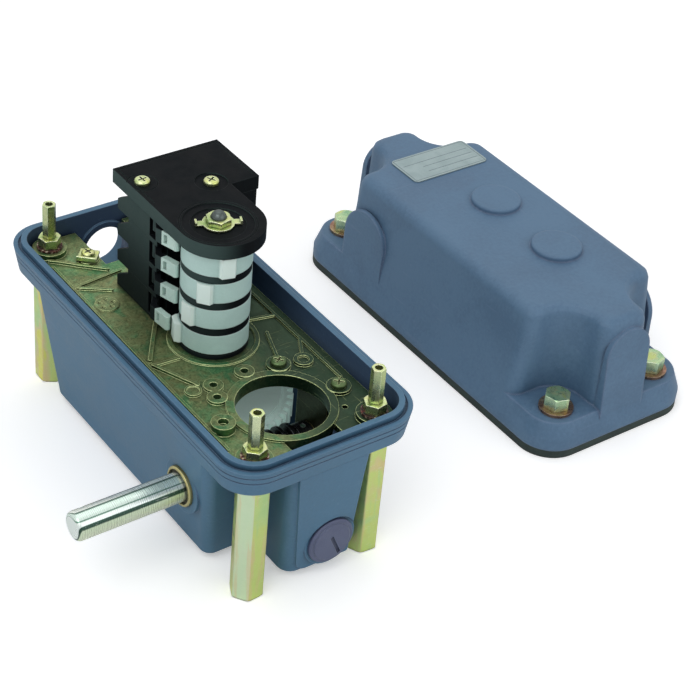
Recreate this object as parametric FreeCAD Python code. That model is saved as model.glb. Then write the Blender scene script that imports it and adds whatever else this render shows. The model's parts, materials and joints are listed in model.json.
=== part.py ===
import FreeCAD, Part
import math
import os

os.makedirs("parts", exist_ok=True)
vec = FreeCAD.Vector

# Millimetres. +Z up, origin at the centre of the four leg bottoms, which stand on z = 0.
# -X is the long side with the input shaft, -Y the end with the blanking plug.

# Foot pattern, legs and corner hardware
footX = 57.15 / 2
footY = 165.1 / 2
legFlats = 12.7
legTop = 62.0
footHoleRadius = 3.0
footHoleDepth = 15.0
studRadius = 2.45
studTop = 75.4
spigotRadius = 1.5
spigotTop = 84.0
postFlats = 5.3
clearHole = 0.35
legTurn = {(-1, -1): 4.3, (1, -1): 55.4, (-1, 1): 30.0, (1, 1): 15.0}

# Base housing
bodyLow = 3.0
floorTop = 6.0
plateLow = 65.0
flangeTop = 73.7
rimTop = 75.9
wallLow = 2.0
wallHigh = 3.6
towerWall = 2.5
innerX = 39.5
innerY = 91.5

# Chassis plate
plateTop = 68.0
bossTop = 70.3
windowY = -59.2
windowRadius = 19.3
collarRadius = 22.8

# Input shaft and worm
shaftY = -49.3
shaftZ = 36.0
shaftRadius = 6.35
shaftTip = -90.0
neckRadius = 6.0
journalRadius = 4.0
running = 0.05
wormPitchRadius = 8.0
wormHand = -1
wormTipRadius = 9.2
wormRootRadius = 6.6
wormStart = -8.0
wormEnd = 15.0
gearModule = 34.3 / 24
wheelTeeth = 48
pressureAngle = math.radians(20)
wheelBacklash = 0.35
wormBacklash = 0.1
lead = math.pi * gearModule

# Cam shaft and cams
camY = -7.0
camRadius = 14.7
camHeight = 9.6
camPitch = 12.9
camFirst = 70.3
camLobes = (160.7, 190.9, 220.0, 254.7)
camLobeRise = (2.7, 1.5, 1.5, 1.5)
camShaftRadius = 5.5
stackEndRadius = 3.3
shaftDomeRise = 6.2
camGap = 0.3

# Contact blocks and levers
blockLeft = -15.0
blockRight = 33.0
blockFront = 15.0
blockBack = 38.0
finBack = 47.0
topPlateThick = 6.4
leverHeight = 6.5
leverMiddle = 8.5
pivotX = -12.6
pivotY = 18.0
noseAngle = 147.3
noseRadius = 1.4
pinRadius = 1.0

# Cover, standing beside the base in its own frame
coverX = 173.5
coverY = 12.8
coverWall = 3.0
gasketThick = 4.0
coverFlangeTop = 8.5
coverSeat = 17.4
coverTop = 62.0
coverScrewRadius = 1.65
coverHeadFlats = 11.0


def cyl(radius, x, y, low, high):
    return Part.makeCylinder(radius, high - low, vec(x, y, low))


def cylX(radius, y, z, low, high):
    return Part.makeCylinder(radius, high - low, vec(low, y, z), vec(1, 0, 0))


def cylY(radius, x, z, low, high):
    return Part.makeCylinder(radius, high - low, vec(x, low, z), vec(0, 1, 0))


def cone(radiusLow, radiusHigh, x, y, low, high):
    return Part.makeCone(radiusLow, radiusHigh, high - low, vec(x, y, low))


def box(x0, x1, y0, y1, z0, z1):
    return Part.makeBox(x1 - x0, y1 - y0, z1 - z0, vec(x0, y0, z0))


def fused(first, *others):
    return first.fuse(list(others)).removeSplitter()


def outline(points, radii, z=0.0):
    # closed wire through the points, each corner rounded by its own radius
    count = len(points)
    edges = []
    starts = []
    ends = []
    arcs = []
    for i in range(count):
        corner = vec(points[i][0], points[i][1], z)
        before = vec(points[i - 1][0], points[i - 1][1], z) - corner
        after = vec(points[(i + 1) % count][0], points[(i + 1) % count][1], z) - corner
        before.normalize()
        after.normalize()
        radius = radii[i]
        half = before.getAngle(after) / 2
        if radius <= 0 or abs(half - math.pi / 2) < 1e-6:
            starts.append(corner)
            ends.append(corner)
            arcs.append(None)
            continue
        reach = radius / math.tan(half)
        bisector = before + after
        bisector.normalize()
        centre = corner + bisector * (radius / math.sin(half))
        starts.append(corner + before * reach)
        ends.append(corner + after * reach)
        arcs.append(centre - bisector * radius)
    for i in range(count):
        if arcs[i] is not None:
            edges.append(Part.Arc(starts[i], arcs[i], ends[i]).toShape())
        following = starts[(i + 1) % count]
        if ends[i].distanceToPoint(following) > 1e-6:
            edges.append(Part.makeLine(ends[i], following))
    return Part.Wire(edges)


def rectangle(halfX, halfY, radius, z):
    points = [(-halfX, -halfY), (halfX, -halfY), (halfX, halfY), (-halfX, halfY)]
    return outline(points, [radius] * 4, z)


def loft(*wires):
    return Part.makeLoft(list(wires), True, True)


def prism(points, low, high, radii=None):
    wire = outline(points, radii or [0] * len(points), low)
    return Part.Face(wire).extrude(vec(0, 0, high - low))


def prismX(points, low, high, radii=None):
    # outline given as (y, z), drawn out along X
    solid = prism(points, low, high, radii)
    turn = FreeCAD.Placement(vec(0, 0, 0), FreeCAD.Rotation(vec(0, 1, 0), vec(0, 0, 1), vec(1, 0, 0), "XYZ"))
    return solid.transformGeometry(turn.toMatrix())


def prismY(points, low, high, radii=None):
    # outline given as (x, z), drawn out along Y
    solid = prism([(x, z) for x, z in points], -high, -low, radii)
    solid.rotate(vec(0, 0, 0), vec(1, 0, 0), 90)
    return solid


def hexagon(flats, x, y, low, high, turn=0.0, chamferLow=0.0, chamferHigh=0.0):
    corner = flats / math.sqrt(3)
    points = []
    for i in range(6):
        angle = math.radians(turn + 60 * i)
        points.append((x + corner * math.cos(angle), y + corner * math.sin(angle)))
    solid = prism(points, low, high)
    if chamferLow or chamferHigh:
        profile = [(0, low), (corner - chamferLow, low), (corner + 0.2, low + (chamferLow + 0.2) * 0.6)]
        profile += [(corner + 0.2, high - (chamferHigh + 0.2) * 0.6), (corner - chamferHigh, high), (0, high)]
        wire = Part.makePolygon([vec(r, 0, z) for r, z in profile + profile[:1]])
        keeper = Part.Face(wire).revolve(vec(0, 0, 0), vec(0, 0, 1), 360)
        keeper.translate(vec(x, y, 0))
        solid = solid.common(keeper)
    return solid


def rib(points, width, low, high):
    pieces = []
    for (x0, y0), (x1, y1) in zip(points, points[1:]):
        length = math.hypot(x1 - x0, y1 - y0)
        bar = box(0, length, -width / 2, width / 2, low, high)
        bar.rotate(vec(0, 0, 0), vec(0, 0, 1), math.degrees(math.atan2(y1 - y0, x1 - x0)))
        bar.translate(vec(x0, y0, 0))
        pieces.append(bar)
    for x, y in points:
        pieces.append(cyl(width / 2, x, y, low, high))
    return pieces


def save(name, *solids):
    for solid in solids:
        if not solid.isValid() or len(solid.Solids) != 1:
            print("check", name, solid.isValid(), len(solid.Solids))
    shape = solids[0] if len(solids) == 1 else Part.makeCompound(list(solids))
    shape.exportStep("parts/" + name + ".step")
    print(name, len(shape.Solids), round(shape.Volume, 1))


corners = [(sx, sy) for sx in (-1, 1) for sy in (-1, 1)]


# Base housing
def housingPlan(z, wall=0.0, pocketWall=0.0):
    # plan outline of the cast body, with a pocket at each corner for a leg
    rise = (z - bodyLow) / (legTop - bodyLow)
    halfX = 34.4 + 8.3 * rise - wall
    halfY = 87.0 + 7.7 * rise - wall
    slabLow = -12.8 - 4.6 * rise + pocketWall
    slabHigh = 18.5 + 1.5 * rise - pocketWall
    nearY = -61 - 10 * rise + pocketWall
    farY = 67 + 3 * rise - pocketWall
    farLow = -18.5 - 1.5 * rise + pocketWall
    farHigh = 10 + 3 * rise - pocketWall
    points = [(slabLow, -halfY), (slabHigh, -halfY), (slabHigh, nearY), (halfX, nearY)]
    points += [(halfX, farY), (farHigh, farY), (farHigh, halfY), (farLow, halfY)]
    points += [(farLow, farY), (-halfX, farY), (-halfX, nearY), (slabLow, nearY)]
    round_ = 5.0 - pocketWall
    tight = 2.6
    hollow = 4.0 + pocketWall
    radii = [round_ + 1.5, tight, hollow, round_, round_, hollow, round_, round_, hollow, round_, round_, hollow]
    return outline(points, radii, z)


flangeLow = rectangle(43.2, 95.2, 14.9, legTop)
flangeHigh = rectangle(45.3, 97.2, 17.0, flangeTop)
housing = loft(housingPlan(bodyLow), housingPlan(legTop))
bottomEdges = [e for e in housing.Edges if e.BoundBox.ZMax < bodyLow + 0.01]
housing = housing.makeFillet(2.0, bottomEdges)
flange = loft(flangeLow, flangeHigh)
lip = loft(rectangle(42.0, 94.0, 14.0, flangeTop - 0.8), rectangle(42.0, 94.0, 14.0, rimTop))
groove = Part.Face(rectangle(43.3, 95.3, 15.3, flangeTop - 0.8)).extrude(vec(0, 0, 2))
flange = flange.cut(groove.cut(lip)).fuse(lip)
for z in (68.2, 71.0):
    # fine lines that run round the flange
    slab = box(-60, 60, -120, 120, z, z + 0.6)
    core = loft(rectangle(42.85, 94.85, 14.55, legTop), rectangle(44.95, 96.85, 16.65, flangeTop))
    flange = flange.cut(slab.cut(core))
housing = housing.fuse(flange)
panelFace = prismX([(-80, 4.5), (-80, legTop), (-95.2, legTop), (-88.1, 4.5)], -30, 30)
panelShape = prismY([(-8.2, 4.6), (17.6, 4.6), (17.6, 61.9), (-14.9, 61.9)], -100, -84, [6, 1, 0, 0])
housing = housing.fuse(panelFace.common(panelShape))
plugX = 6.3
plugZ = 17.4
plugBossFace = -89.9
plugBossRadius = 12.2
housing = housing.fuse(cylY(plugBossRadius + 0.1, plugX, plugZ, plugBossFace, -85))
shaftBossFace = -40.2
housing = housing.fuse(cylX(12.0, shaftY, shaftZ, shaftBossFace, -36))
cableX = 3.5
cableZ = 55.5
cableRadius = 10.2
housing = housing.fuse(cylY(13.0, cableX, cableZ, 90.3, 96.5))
cavity = loft(housingPlan(floorTop, wallLow, towerWall), housingPlan(plateLow, wallHigh, towerWall))
cavity = cavity.fuse(Part.Face(rectangle(innerX, innerY, 11.5, plateLow)).extrude(vec(0, 0, 20)))
cavity = cavity.cut(cylX(13.0, shaftY, shaftZ, -40, -24))
cavity = cavity.cut(cyl(8.0, 0, camY, 5, 14))
cavity = cavity.cut(cylY(plugBossRadius + 0.1, plugX, plugZ, -90, -83.5))
cavity = cavity.cut(cylY(13.0, cableX, cableZ, 90.3, 96.5))
housing = housing.cut(cavity)
plugShankRadius = 9.2
housing = housing.cut(cylY(plugShankRadius + running, plugX, plugZ, -95, -80))
housing = housing.cut(cylY(plugBossRadius, plugX, plugZ, -100, plugBossFace))
bushRadius = 8.8
housing = housing.cut(cylX(bushRadius + 0.03, shaftY, shaftZ, -50, -20))
housing = housing.cut(cylY(cableRadius, cableX, cableZ, 85, 100))
housing = housing.cut(cyl(6.03, 0, camY, 7, 16))
for sx, sy in corners:
    housing = housing.cut(cyl(studRadius + clearHole, sx * footX, sy * footY, 50, 70))
save("base_housing", housing)

# Legs, washers, nuts and cover posts
washerTop = bossTop + 1.0
nutTop = 75.9
postTop = 92.6
postBore = 84.6
legs = []
washers = []
nuts = []
posts = []
for sx, sy in corners:
    x = sx * footX
    y = sy * footY
    leg = hexagon(legFlats, x, y, 0, legTop, legTurn[(sx, sy)], 0.7, 0.5)
    leg = leg.fuse(cyl(studRadius, x, y, legTop - 1, studTop))
    leg = leg.fuse(cyl(spigotRadius, x, y, studTop - 1, spigotTop - 0.4))
    leg = leg.fuse(cone(spigotRadius, spigotRadius - 0.4, x, y, spigotTop - 0.4, spigotTop))
    legs.append(leg.cut(cyl(footHoleRadius, x, y, -1, footHoleDepth)))
    washers.append(cyl(5.6, x, y, bossTop, washerTop).cut(cyl(studRadius + 0.3, x, y, 69, 73)))
    nut = hexagon(8.7, x, y, washerTop, nutTop, legTurn[(sx, sy)] + 12, 0.5, 0.5)
    nuts.append(nut.cut(cyl(studRadius + running, x, y, 70, 80)))
    post = hexagon(postFlats, x, y, nutTop, postTop, legTurn[(sx, sy)] + 20, 0.2, 0.4)
    post = post.cut(cyl(spigotRadius + running, x, y, 70, postBore))
    posts.append(post.cut(cyl(coverScrewRadius + running, x, y, 80, 100)))
save("standoff_legs", *legs)
save("corner_washers", *washers)
save("corner_nuts", *nuts)
save("cover_posts", *posts)

# Blanking plug with an off-centre driver slot
plugRim = plugBossFace - 1.5
plugFace = plugRim - 0.7
plug = cylY(10.8, plugX, plugZ, plugRim, plugBossFace)
plug = plug.makeFillet(0.7, [e for e in plug.Edges if abs(e.BoundBox.YMax - plugRim) < 0.01])
disc = cylY(9.0, plugX, plugZ, plugFace, plugBossFace)
disc = disc.makeFillet(0.6, [e for e in disc.Edges if abs(e.BoundBox.YMax - plugFace) < 0.01])
plug = plug.fuse(disc).fuse(cylY(plugShankRadius, plugX, plugZ, plugBossFace, -84))
plug = plug.cut(cylY(7.6, plugX, plugZ, -88.5, -80))
slot = box(-0.8, 0.8, -1, 1.2, -5.5, 5.5)
slot.rotate(vec(0, 0, 0), vec(0, 1, 0), 156.5)
slot.translate(vec(plugX + 1.7, plugFace, plugZ - 2.3))
plug = plug.cut(slot)
save("blanking_plug", plug)

# Shaft bush and seal in the long side
bushFace = -41.8
bush = cylX(bushRadius, shaftY, shaftZ, bushFace, -24)
bush = bush.makeChamfer(0.4, [e for e in bush.Edges if abs(e.BoundBox.XMin - bushFace) < 0.01 and e.Closed])
bush = bush.cut(cylX(neckRadius + running, shaftY, shaftZ, -50, -20))
bush = bush.cut(cylX(7.7, shaftY, shaftZ, -50, -38.6))
save("shaft_bush", bush)
seal = cylX(7.65, shaftY, shaftZ, -41.2, -38.6)
seal = seal.cut(cylX(neckRadius + running, shaftY, shaftZ, -50, -30))
seal = seal.cut(cylX(7.3, shaftY, shaftZ, -41.3, -40.6).cut(cylX(6.6, shaftY, shaftZ, -41.3, -40.6)))
save("shaft_seal", seal)

# Input shaft with its circlip
clipX = -23.6
clipThick = 1.2
shaft = cylX(shaftRadius, shaftY, shaftZ, shaftTip, bushFace - 0.3)
shaft = shaft.makeFillet(1.9, [e for e in shaft.Edges if abs(e.BoundBox.XMax - shaftTip) < 0.01])
shaft = shaft.fuse(cylX(neckRadius, shaftY, shaftZ, bushFace - 1, wormStart - 1))
wormBore = 4.5
shaft = fused(shaft, cylX(wormBore, shaftY, shaftZ, wormStart - 2, 20.6), cylX(journalRadius, shaftY, shaftZ, 20, 28.0))
crossHole = Part.makeCylinder(1.6, 20, vec(-84, shaftY, shaftZ - 10), vec(0, 0, 1))
crossHole.rotate(vec(-84, shaftY, shaftZ), vec(1, 0, 0), -37)
shaft = shaft.cut(crossHole)
clipGroove = cylX(7.0, shaftY, shaftZ, clipX, clipX + clipThick + 0.1)
shaft = shaft.cut(clipGroove.cut(cylX(5.5, shaftY, shaftZ, clipX - 1, clipX + 3)))
pinX = 18.6
pinHole = Part.makeCylinder(1.25, 30, vec(pinX, shaftY, shaftZ - 15), vec(0, 0, 1))
shaft = shaft.cut(pinHole)
save("input_shaft", shaft)
clip = cylX(8.0, shaftY, shaftZ, clipX, clipX + clipThick).cut(cylX(5.55, shaftY, shaftZ, clipX - 1, clipX + 3))
clip = clip.cut(box(clipX - 1, clipX + 3, shaftY - 2.4, shaftY + 2.4, shaftZ - 10, shaftZ))
save("shaft_circlip", clip)

# Worm: left-hand, single start, crest centred on x = 0 on the side of the wheel
threadStart = -2.25 * lead
threadLength = 27.6
halfPitch = (lead / 2 - wormBacklash) / 2
slope = math.tan(pressureAngle)
sunk = wormRootRadius - 0.5
rootHalf = halfPitch + (wormPitchRadius - sunk) * slope
tipHalf = halfPitch - (wormTipRadius - wormPitchRadius) * slope
helix = Part.makeHelix(lead, threadLength, wormRootRadius)
profile = [vec(sunk, 0, -rootHalf), vec(wormTipRadius, 0, -tipHalf), vec(wormTipRadius, 0, tipHalf), vec(sunk, 0, rootHalf)]
thread = Part.Wire(helix.Edges).makePipeShell([Part.makePolygon(profile + profile[:1])], True, True)
thread.rotate(vec(0, 0, 0), vec(0, 1, 0), 90)
thread.translate(vec(threadStart, shaftY, shaftZ))
if wormHand < 0:
    thread = thread.mirror(vec(0, shaftY, shaftZ), vec(0, 0, 1))
thread = thread.common(cylX(20, shaftY, shaftZ, wormStart + 0.5, wormEnd - 0.5))
worm = fused(cylX(wormRootRadius, shaftY, shaftZ, wormStart, wormEnd), thread)
worm = worm.fuse(cylX(7.6, shaftY, shaftZ, wormEnd, 21.6))
worm = worm.cut(cylX(wormBore + running, shaftY, shaftZ, -20, 30)).cut(pinHole)
save("worm", worm)
save("worm_pin", Part.makeCylinder(1.2, 15.0, vec(pinX, shaftY, shaftZ - 7.5), vec(0, 0, 1)))


# Worm wheel: a gap sits opposite the worm crest at the height of the input shaft
def toothWire(z):
    pitchRadius = gearModule * wheelTeeth / 2
    baseRadius = pitchRadius * math.cos(pressureAngle)
    tipRadius = pitchRadius + 1.1
    rootRadius = pitchRadius - 1.65
    lean = wormHand * (z - shaftZ) * lead / (2 * math.pi * wormPitchRadius) / pitchRadius

    def halfAngle(radius):
        angle = math.acos(baseRadius / radius)
        thickness = (lead / 2 - wheelBacklash) / 2 / pitchRadius
        return thickness + math.tan(pressureAngle) - pressureAngle - math.tan(angle) + angle

    points = []
    for i in range(wheelTeeth):
        middle = -math.pi / 2 + (i + 0.5) * 2 * math.pi / wheelTeeth + lean
        for radius, side in ((rootRadius, -1), (tipRadius, -1), (tipRadius, 1), (rootRadius, 1)):
            angle = middle + side * halfAngle(radius)
            points.append(vec(radius * math.cos(angle), camY + radius * math.sin(angle), z))
    return Part.makePolygon(points + points[:1])


toothLow = 32.0
toothHigh = 41.0
hubLow = 15.3
wheel = loft(toothWire(toothLow), toothWire(toothHigh))
wheel = wheel.fuse(cyl(30.0, 0, camY, toothHigh, toothHigh + 1))
wheel = wheel.fuse(cyl(9.5, 0, camY, hubLow, toothLow))
wheel = wheel.cut(cyl(camShaftRadius + running, 0, camY, hubLow + 0.8, 60))
wheel = wheel.cut(cyl(journalRadius + running, 0, camY, 10, 30))
wheelPinZ = 24.0
wheelPinHole = cylX(1.25, camY, wheelPinZ, -15, 15)
wheel = wheel.cut(wheelPinHole)
save("worm_wheel", wheel)
save("wheel_pin", cylX(1.2, camY, wheelPinZ, -9.4, 9.4))

# Cam shaft: shoulder under the lowest cam, domed end above the nut
blockTops = camFirst - 2.3 + 4 * camPitch
sleeveTop = blockTops + topPlateThick - 0.7
shaftDomeTop = sleeveTop + shaftDomeRise
camShaft = fused(
    cyl(journalRadius, 0, camY, 7.5, 20),
    cyl(camShaftRadius, 0, camY, hubLow + 0.85, camFirst),
    cyl(journalRadius, 0, camY, camFirst - 1, sleeveTop - 0.3),
    cyl(stackEndRadius, 0, camY, sleeveTop - 1.3, shaftDomeTop - stackEndRadius),
    Part.makeSphere(stackEndRadius, vec(0, camY, shaftDomeTop - stackEndRadius)),
)
camShaft = camShaft.cut(wheelPinHole)
save("cam_shaft", camShaft)
lowerBush = fused(cyl(6.0, 0, camY, 7.0, 14.0), cyl(7.6, 0, camY, 14.0, 15.0))
save("cam_shaft_bush", lowerBush.cut(cyl(journalRadius + running, 0, camY, 6, 20)))
bearing = fused(cyl(camRadius, 0, camY, plateTop, camFirst - camGap), cyl(8.0, 0, camY, plateLow, plateTop))
save("cam_base_bearing", bearing.cut(cyl(camShaftRadius + running, 0, camY, 60, 80)))

# Cams with one raised lobe each, and the discs between them
for i in range(4):
    low = camFirst + i * camPitch
    cam = cyl(camRadius, 0, camY, low, low + camHeight)
    cam = cam.cut(cyl(camRadius + 1, 0, camY, low, low + 0.3).cut(cyl(camRadius - 0.3, 0, camY, low, low + 0.3)))
    reach = camRadius + camLobeRise[i]
    inner = camRadius - 4.7
    lobe = prism([(inner, -4.1), (reach - 1.7, -3.7), (reach, -2.7), (reach, 2.7), (reach - 1.7, 3.7), (inner, 4.1)], low + 0.3, low + camHeight)
    lobe.rotate(vec(0, 0, 0), vec(0, 0, 1), camLobes[i])
    lobe.translate(vec(0, camY, 0))
    cam = fused(cam, lobe).cut(cyl(journalRadius + running, 0, camY, low - 1, low + 12))
    save("cam_" + str(i + 1), cam)
spacers = []
for i in range(3):
    low = camFirst + i * camPitch + camHeight
    spacer = cyl(camRadius - 0.2, 0, camY, low, low + camPitch - camHeight)
    spacers.append(spacer.cut(cyl(journalRadius + running, 0, camY, low - 1, low + 5)))
save("cam_spacers", *spacers)
sleeveLow = camFirst + 3 * camPitch + camHeight
sleeveRadius = 6.0
sleeve = fused(cyl(13.0, 0, camY, sleeveLow, blockTops - camGap), cyl(sleeveRadius, 0, camY, sleeveLow, sleeveTop))
save("cam_top_sleeve", sleeve.cut(cyl(journalRadius + running, 0, camY, 110, 130)))
tabThick = 0.8
earTurn = -22.7
tab = cyl(6.6, 0, camY, sleeveTop, sleeveTop + tabThick)
for turn in (earTurn, earTurn + 180):
    ear = fused(box(5, 9.6, -1.6, 1.6, sleeveTop, sleeveTop + tabThick), box(8.8, 9.6, -1.6, 1.6, sleeveTop, sleeveTop + 1.9))
    ear.rotate(vec(0, 0, 0), vec(0, 0, 1), turn)
    ear.translate(vec(0, camY, 0))
    tab = tab.fuse(ear)
tab = tab.removeSplitter().cut(cyl(stackEndRadius + running, 0, camY, sleeveTop - 1, sleeveTop + 3))
camNut = hexagon(9.4, 0, camY, sleeveTop + tabThick, sleeveTop + tabThick + 2.6, 10, 0.3, 0.6)
camNut = camNut.cut(cyl(stackEndRadius + running, 0, camY, sleeveTop - 1, sleeveTop + 8))
save("cam_tab_washer", tab)
save("cam_nut", camNut)

# Chassis plate
lugRadius = 7.5
plateHalf = footX + lugRadius
plate = box(-plateHalf, plateHalf, -79, 79, plateLow, plateTop)
for sx, sy in corners:
    x = sx * footX
    y = sy * footY
    lug = cyl(lugRadius, x, y, plateLow, plateTop)
    bridge = box(min(x, sx * 12), max(x, sx * 12), min(sy * 70, sy * 90), max(sy * 70, sy * 90), plateLow, plateTop)
    edge = sx * plateHalf
    wide = box(min(x, edge), max(x, edge), min(sy * 70, y), max(sy * 70, y), plateLow, plateTop)
    plate = plate.fuse([lug, bridge, wide, cyl(lugRadius, x, y, plateTop, bossTop)])
plate = plate.cut(box(-12, 12, 62, 100, 60, 80))
plate = plate.cut(box(-12, 12, -100, -77, 60, 80))
plate = plate.fuse(cyl(collarRadius, 0, windowY, plateLow, plateTop + 1.0))
skirt = cyl(windowRadius + 1.4, 0, windowY, plateLow - 2, plateLow)
skirt = skirt.cut(box(-40, -10.2, -100, -68, 60, plateLow)).cut(box(17.2, 40, -100, -68, 60, plateLow))
plate = plate.fuse(skirt)
plate = plate.fuse(cyl(19.4, 0, camY, plateTop, plateTop + 0.7)).cut(cyl(17.5, 0, camY, plateTop, plateTop + 2))
bosses = []
for x, y in ((-17.4, -34.9), (-20.2, -42.3), (24.3, -38.4), (-1.4, -33.2)):
    bosses.append(cyl(4.2, x, y, plateTop, plateTop + 1.2))
bosses.append(cyl(3.6, -26.2, -33.7, plateTop, plateTop + 1.0))
screwSeat = plateTop + 1.4
screwSpots = ((13.4, -36.1), (26.8, -60.4))
for x, y in screwSpots:
    bosses.append(cyl(5.2, x, y, plateTop, screwSeat))
bosses.append(cyl(5.0, -28.3, -59.5, plateTop, plateTop + 3.6))
bosses.append(cyl(5.2, -26.7, 35.3, plateTop, plateTop + 0.6))
earthX = -17.0
earthY = 69.0
bosses.append(cyl(5.0, earthX, earthY, plateTop, plateTop + 1.0))
ribTop = plateTop + 0.9
bosses += rib([(-32.8, 52.2), (-9.2, 54.6)], 1.3, plateTop, ribTop)
bosses += rib([(-32.8, 52.0), (-19.7, 43.2)], 1.3, plateTop, ribTop)
bosses += rib([(-15.8, 13.6), (-31.1, -8)], 1.6, plateTop, plateTop + 1.3)
bosses += rib([(-31.8, -11.5), (-19.8, -12.3)], 1.3, plateTop, ribTop)
bosses += rib([(-31.8, -11.5), (-22.7, -31.8)], 1.3, plateTop, plateTop + 1.3)
bosses += rib([(31.6, 72), (31.6, finBack + 2)], 1.3, plateTop, ribTop)
bosses += rib([(31.6, blockFront - 3), (31.6, -55)], 1.3, plateTop, ribTop)
bosses += rib([(-33.6, 70), (-33.6, -72)], 1.3, plateTop, ribTop)
bosses += rib([(21.5, -15.1), (15.6, -32.5)], 1.3, plateTop, ribTop)
bosses += rib([(31, -6), (19.8, -3.6)], 1.3, plateTop, ribTop)
bosses += rib([(31, -26), (26.0, -35.0)], 1.3, plateTop, ribTop)
bosses += rib([(-33.0, 75), (-29.4, 72), (-22.9, 65.7), (-13.6, 57.4)], 1.3, plateTop, plateTop + 1.2)
plate = plate.fuse(bosses)
plate = plate.cut(cyl(windowRadius, 0, windowY, 50, 80))
plate = plate.cut(cyl(8.05, 0, camY, 50, 80))
for x, y in ((-17.4, -34.9), (-20.2, -42.3), (-1.4, -33.2)):
    plate = plate.cut(cyl(1.7, x, y, 50, 80))
plate = plate.cut(cyl(2.4, 24.3, -38.4, plateTop + 0.3, 80))
plate = plate.cut(cyl(2.6, -26.2, -33.7, plateTop + 0.5, 80))
plate = plate.cut(cyl(2.2, -28.3, -59.5, plateTop + 1, 80))
plate = plate.cut(cyl(1.2, 21.9, -71.9, 50, 80))
for i in range(5):
    angle = math.radians(72 * i)
    plate = plate.cut(cyl(0.9, -26.7 + 3 * math.cos(angle), 35.3 + 3 * math.sin(angle), plateTop, 80))
screwShank = 1.9
for x, y in screwSpots:
    plate = plate.cut(cyl(screwShank + running, x, y, 50, 80))
plate = plate.cut(cyl(screwShank + running, earthX, earthY, 50, 80))
stackSpots = ((-11.8, 32.9), (13.7, 20.3))
for x, y in stackSpots:
    plate = plate.cut(cyl(screwShank + running, x, y, 50, 80))
for sx, sy in corners:
    plate = plate.cut(cyl(studRadius + clearHole, sx * footX, sy * footY, 60, 80))
save("chassis_plate", plate.removeSplitter())


def panScrew(x, y, seat, low, headRadius, headHeight, turn):
    head = cyl(headRadius, x, y, seat, seat + headHeight)
    head = head.makeFillet(headHeight * 0.55, [e for e in head.Edges if abs(e.BoundBox.ZMin - seat - headHeight) < 0.01])
    for angle in (turn, turn + 90):
        cut = box(-headRadius * 0.62, headRadius * 0.62, -0.4, 0.4, seat + headHeight - 1.0, seat + headHeight + 1)
        cut.rotate(vec(0, 0, 0), vec(0, 0, 1), angle)
        cut.translate(vec(x, y, 0))
        head = head.cut(cut)
    return head.fuse(cyl(screwShank, x, y, low, seat))


# Worm bracket under the plate, with its screws and bush
foot = prism([(21.5, -66), (31.5, -66), (31.5, -33), (8.5, -31), (8.5, -41.5), (21.5, -44)], 62, plateLow, [3, 3, 3, 3, 3, 3])
foot = foot.cut(cyl(windowRadius + 2.0, 0, windowY, 50, 80))
wall = fused(cylX(10.5, shaftY, shaftZ, 22.4, 26.4), box(22.4, 26.4, shaftY - 10.5, shaftY + 10.5, shaftZ, 63))
bracket = fused(foot, wall)
wormBushRadius = 7.0
bracket = bracket.cut(cylX(wormBushRadius + 0.02, shaftY, shaftZ, 20, 30))
for x, y in screwSpots:
    bracket = bracket.cut(cyl(screwShank + running, x, y, 50, 70))
bracket = bracket.cut(cyl(4.3, 26.8, -60.4, 50, 61.9))
save("worm_bracket", bracket)
wormBush = cylX(wormBushRadius, shaftY, shaftZ, 22.4, 27.4).cut(cylX(journalRadius + running, shaftY, shaftZ, 20, 30))
save("worm_bush", wormBush)
save("bracket_screws", *[panScrew(x, y, screwSeat, 59.5, 3.4, 2.0, 20 + x) for x, y in screwSpots])

# Earth clamp and its screw
clampTop = plateTop + 2.2
clamp = box(-4.6, 4.6, -4.2, 4.2, plateTop + 1.0, clampTop)
clamp = clamp.fuse(box(-4.6, -3.6, -4.2, 4.2, clampTop - 1, clampTop + 1.6)).removeSplitter()
clamp = clamp.cut(cyl(screwShank + running, 0, 0, 60, 80))
clamp.rotate(vec(0, 0, 0), vec(0, 0, 1), 48)
clamp.translate(vec(earthX, earthY, 0))
save("earth_clamp", clamp)
save("earth_screw", panScrew(earthX, earthY, clampTop, 63.0, 3.0, 2.2, 10))

# Contact blocks, one for each cam
for i in range(4):
    low = plateTop + i * camPitch
    high = low + camPitch
    block = box(blockLeft, blockRight, blockFront, blockBack, low, high)
    shelf = box(blockLeft, blockRight, blockBack - 1, finBack - 2.5, low, low + 3.0)
    block = block.fuse(shelf)
    for x in (blockLeft, 8.0, blockRight - 2):
        fin = prismX([(blockBack - 1, low), (finBack, low), (finBack, low + 5), (blockBack - 1, high - 1.5)], x, x + 2)
        block = block.fuse(fin)
    pocket = box(blockLeft - 1, pivotX + 3.0, blockFront - 1, pivotY + 3.0, low + 1.5, low + 12.1)
    block = block.removeSplitter().cut(pocket).cut(cyl(pinRadius + 0.03, pivotX, pivotY, low - 1, high + 1))
    for x, y in stackSpots:
        block = block.cut(cyl(screwShank + 0.3, x, y, low - 1, high + 1))
    for x in (-2.5, 20.5):
        block = block.cut(cyl(1.55, x, 42.0, low + 0.6, low + 5))
    save("contact_block_" + str(i + 1), block)

# Lever pins, terminal clamps and screws
pins = []
clamps = []
screws = []
for i in range(4):
    low = plateTop + i * camPitch
    pins.append(cyl(pinRadius, pivotX, pivotY, low + 0.3, low + camPitch - 0.3))
    for x in (-2.5, 20.5):
        clampPlate = box(x - 3.6, x + 3.6, 38.5, 45.0, low + 3.0, low + 4.0)
        clamps.append(clampPlate.cut(cyl(1.6, x, 42.0, low, low + 6)))
        screw = cyl(2.9, x, 42.0, low + 4.0, low + 6.2).fuse(cyl(1.5, x, 42.0, low + 0.7, low + 4.0))
        screws.append(screw.cut(box(x - 4, x + 4, 41.6, 42.4, low + 5.3, low + 7)))
save("lever_pins", *pins)
save("terminal_clamps", *clamps)
save("terminal_screws", *screws)


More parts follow.
